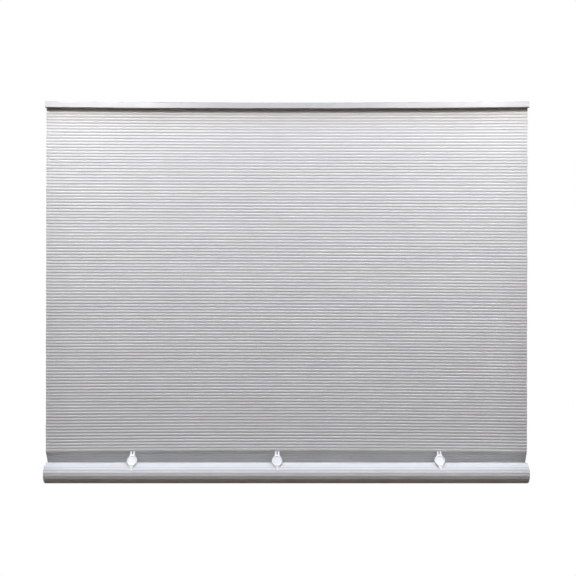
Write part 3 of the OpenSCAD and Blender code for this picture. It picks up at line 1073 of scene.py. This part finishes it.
print("rim profile has", len(rim_profile()), "points")

# %% Build the clips
def gather(shapes):
    points, faces = [], []
    for shape_points, shape_faces in shapes:
        start = len(points)
        points += shape_points
        faces += [tuple(start + k for k in face) for face in shape_faces]
    return points, faces


def prong_shapes(side, to_plate):
    """A prong through the curtain with its hook, moved into the clip's plane."""
    prong_w = (NECK_W - SLOT_W) / 2
    middle = side * (SLOT_W + prong_w) / 2
    left, right = middle - prong_w / 2, middle + prong_w / 2
    top = KINK_Z + PRONG_LIFT
    front, back = CURTAIN_Y - CLIP_Y - PRONG_ROOT, CURTAIN_Y + HOOK_Y + HOOK_T
    level = bar((left, front, top - PRONG_T), (right, back, top))
    hook = bar((left, back - HOOK_T, top - PRONG_T - HOOK_H), (right, back, top - PRONG_T))
    return [([to_plate @ Vector(point) for point in points], faces) for points, faces in (level, hook)]


def build_clip(name, node):
    low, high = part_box(node)
    turn = Matrix.Rotation(math.radians(90) - CLIP_LEAN, 4, "X")
    own = Matrix.Translation((0, CURTAIN_Y - CLIP_Y, AXIS_Z + CLIP_Z)) @ turn
    place = Matrix.Translation(((low.x + high.x) / 2, 0, 0)) @ own
    claw = bar(
        (TAIL_SHIFT - CLAW_W / 2, TAIL_V - CLAW_T / 2, CLAW_N),
        (TAIL_SHIFT + CLAW_W / 2, TAIL_V + CLAW_T / 2, -CLIP_T / 2),
    )
    shapes = [
        solid_from_outline(clip_outline(), -CLIP_T / 2, CLIP_T / 2),
        turned_ring(rim_profile(), (0, DISC_V), RIM_STEPS),
        claw,
        *prong_shapes(-1, own.inverted()),
        *prong_shapes(1, own.inverted()),
    ]
    points, faces = gather(shapes)
    mesh = bpy.data.meshes.new(name)
    mesh.from_pydata([place @ Vector(point) for point in points], [], faces)
    mesh.validate()
    mesh.polygons.foreach_set("use_smooth", np.ones(len(mesh.polygons), bool))
    mesh.set_sharp_from_angle(angle=SHARP_ANGLE)
    mesh.materials.append(clip_plastic)
    clip = add_object(name, mesh)
    bevel = clip.modifiers.new("soft_edges", "BEVEL")
    bevel.width = SOFT_EDGE
    bevel.segments = 2
    bevel.limit_method = "ANGLE"
    bevel.angle_limit = SHARP_ANGLE
    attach(clip, "hung_roll")
    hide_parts(node)
    return clip


clips = [build_clip(f"hook_clip_{side}", f"clip_{side}") for side in ("left", "middle", "right")]
print("built", len(clips), "clips")

# %% [markdown]
# ## Floor, world and lamps
# The photograph is lit from above and in front, so each slat is bright on top and dark below, the rail
# throws a short shadow and the underside of the roll is dark. The floor and the world are white to the
# camera and in reflections. To the light that bounces up from below they are dim and brownish, so that
# undersides stay dark.

# %% Rays that see the white surroundings
SEES_WHITE = ("Is Camera Ray", "Is Glossy Ray", "Is Transmission Ray")


def white_rays(tree):
    """One for rays that see the surroundings white, zero for the rest."""
    rays = add_node(tree, "ShaderNodeLightPath")
    found = rays.outputs[SEES_WHITE[0]]
    for kind in SEES_WHITE[1:]:
        either = add_node(tree, "ShaderNodeMath", operation="MAXIMUM")
        link(tree, found, either.inputs[0])
        link(tree, rays.outputs[kind], either.inputs[1])
        found = either.outputs[0]
    return found


print("ray helper ready")

# %% Floor
FLOOR_Z = -2.1
FLOOR_HALF = 9.0
FLOOR_BOUNCE = (0.13, 0.07, 0.035, 1)


def make_floor():
    corners = [(x * FLOOR_HALF, y * FLOOR_HALF, FLOOR_Z) for x, y in ((-1, -1), (1, -1), (1, 1), (-1, 1))]
    mesh = bpy.data.meshes.new("floor")
    mesh.from_pydata(corners, [], [(0, 1, 2, 3)])
    material = bpy.data.materials.new("pale_floor")
    material.use_nodes = True
    tree = material.node_tree
    tree.nodes.remove(tree.nodes["Principled BSDF"])
    seen = add_node(tree, "ShaderNodeEmission")
    bounce = add_node(tree, "ShaderNodeBsdfDiffuse")
    bounce.inputs["Color"].default_value = FLOOR_BOUNCE
    mix = add_node(tree, "ShaderNodeMixShader")
    link(tree, white_rays(tree), mix.inputs[0])
    link(tree, bounce.outputs[0], mix.inputs[1])
    link(tree, seen.outputs[0], mix.inputs[2])
    link(tree, mix.outputs[0], tree.nodes["Material Output"].inputs["Surface"])
    mesh.materials.append(material)
    floor = add_object("floor", mesh)


make_floor()
print("floor at z", FLOOR_Z)

# %% World
LIGHT_BELOW = (0.03, 0.02, 0.012)
LIGHT_ABOVE = (0.06, 0.06, 0.065)
BELOW_UNTIL = -0.15
ABOVE_FROM = 0.5


def make_world():
    world = bpy.data.worlds.new("studio")
    bpy.context.scene.world = world
    world.use_nodes = True
    tree = world.node_tree
    tree.nodes.clear()
    direction = add_node(tree, "ShaderNodeTexCoord")
    split = add_node(tree, "ShaderNodeSeparateXYZ")
    link(tree, direction.outputs["Generated"], split.inputs[0])
    up = spread(tree, split.outputs["Z"], 0, 1, BELOW_UNTIL, ABOVE_FROM)
    soft = add_node(tree, "ShaderNodeBackground")
    link(tree, blend_colour(tree, up, LIGHT_BELOW, LIGHT_ABOVE), soft.inputs["Color"])
    white = add_node(tree, "ShaderNodeBackground")
    white.inputs["Color"].default_value = (1, 1, 1, 1)
    mix = add_node(tree, "ShaderNodeMixShader")
    link(tree, white_rays(tree), mix.inputs[0])
    link(tree, soft.outputs[0], mix.inputs[1])
    link(tree, white.outputs[0], mix.inputs[2])
    output = add_node(tree, "ShaderNodeOutputWorld")
    link(tree, mix.outputs[0], output.inputs["Surface"])


make_world()
bpy.context.scene.view_settings.view_transform = "Standard"
print("world and view ready")

# %% [markdown]
# Two near lamps at the sides give the bright upper corners of the curtain. Two more show only in
# reflections, as the bright patches on the rail. A broad lamp far in front lights the whole, a bluish one
# from above lights the top of the roll, and one behind keeps the back from being black.

# %% Lamps
WARM = (1, 0.98, 0.97)
COOL = (0.99, 0.985, 1.0)
BLUE = (0.6, 0.73, 1)


def add_lamp(name, place, aim, size, power, colour=(1, 1, 1)):
    """A rectangular lamp that looks at a point. The size is in metres and the power in watts."""
    data = bpy.data.lights.new(name, "AREA")
    data.shape = "RECTANGLE"
    data.size, data.size_y = size
    data.energy = power
    data.color = colour
    lamp = add_object(name, data)
    lamp.location = place
    lamp.rotation_euler = (Vector(aim) - Vector(place)).to_track_quat("-Z", "Y").to_euler()
    return lamp


for name, side in (("left", -1), ("right", 1)):
    side_aim = (0.55 * side, CURTAIN_Y, -0.35)
    add_lamp(f"side_{name}", (0.95 * side, -0.75, 0.65), side_aim, (0.5, 0.4), 9.6, WARM)
    shine_aim = (0.42 * side, CURTAIN_Y, 0)
    shine = add_lamp(f"shine_{name}", (0.84 * side, -2.0, 0.46), shine_aim, (0.55, 0.3), 7.5)
    shine.visible_diffuse = False
add_lamp("far", (0, -2.75, 2.05), (0, CURTAIN_Y, -0.5), (3.0, 2.4), 54, COOL)
add_lamp("sky", (0, -0.9, 3.2), (0, CURTAIN_Y, -0.9), (2.4, 0.6), 70, BLUE)
add_lamp("behind", (0, 2.6, 1.6), (0, CURTAIN_Y, -0.5), (3.0, 2.0), 60)
